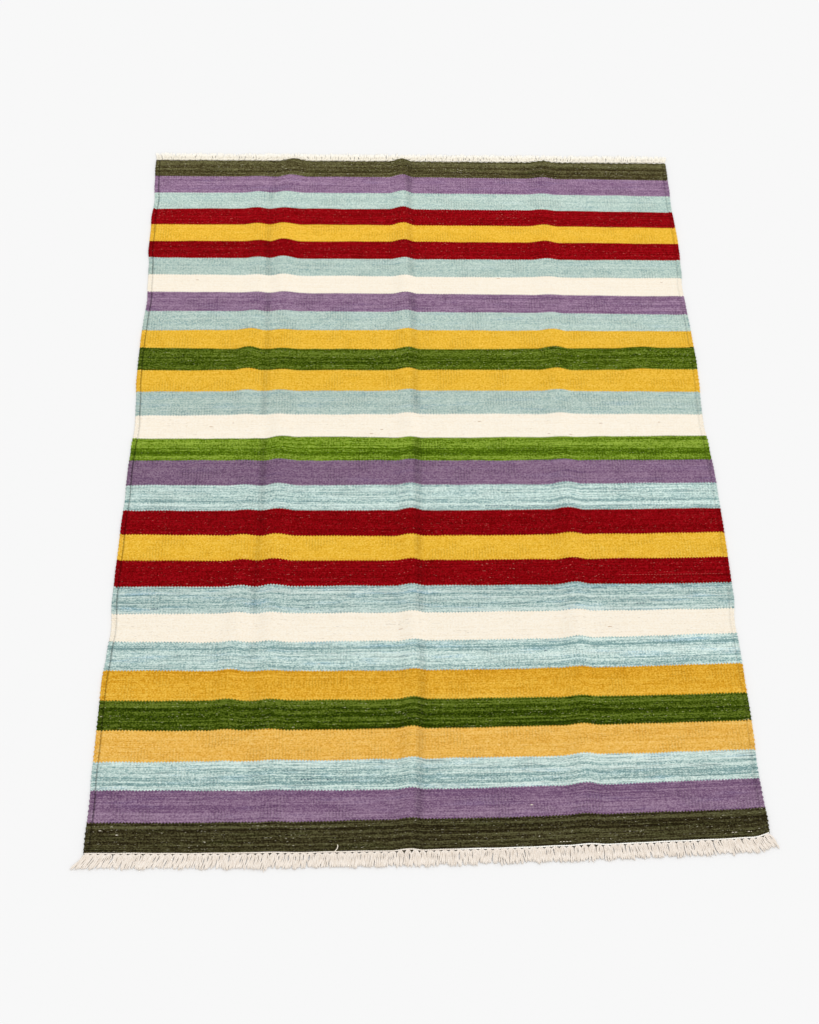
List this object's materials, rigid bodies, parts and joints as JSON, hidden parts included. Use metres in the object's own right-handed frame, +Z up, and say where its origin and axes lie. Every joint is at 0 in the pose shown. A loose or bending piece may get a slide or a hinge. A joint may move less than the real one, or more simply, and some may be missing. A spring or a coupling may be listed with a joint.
{
  "type": "kilim",
  "caption": "Striped flat-woven wool rug with corded selvedges and a knotted cotton fringe at either end, lying flat with soft lengthwise folds.",
  "frame": {"origin": "middle of the rug's footprint, fringes included, on the floor", "axes": "+Y along the warp towards the far end, +X across to the right selvedge, +Z up from the floor"},
  "size_m": [1.2682, 1.8284, 0.0163],
  "materials": {
    "wool_weave": "matte weft-faced wool in stripes of olive, purple, pale teal, red, yellow, cream, green and amber",
    "cotton_warp": "undyed twisted cotton"
  },
  "bodies": {
    "root": {"cloth": "wool_weave", "near_fringe": "cotton_warp", "far_fringe": "cotton_warp"}
  },
  "joints": []
}
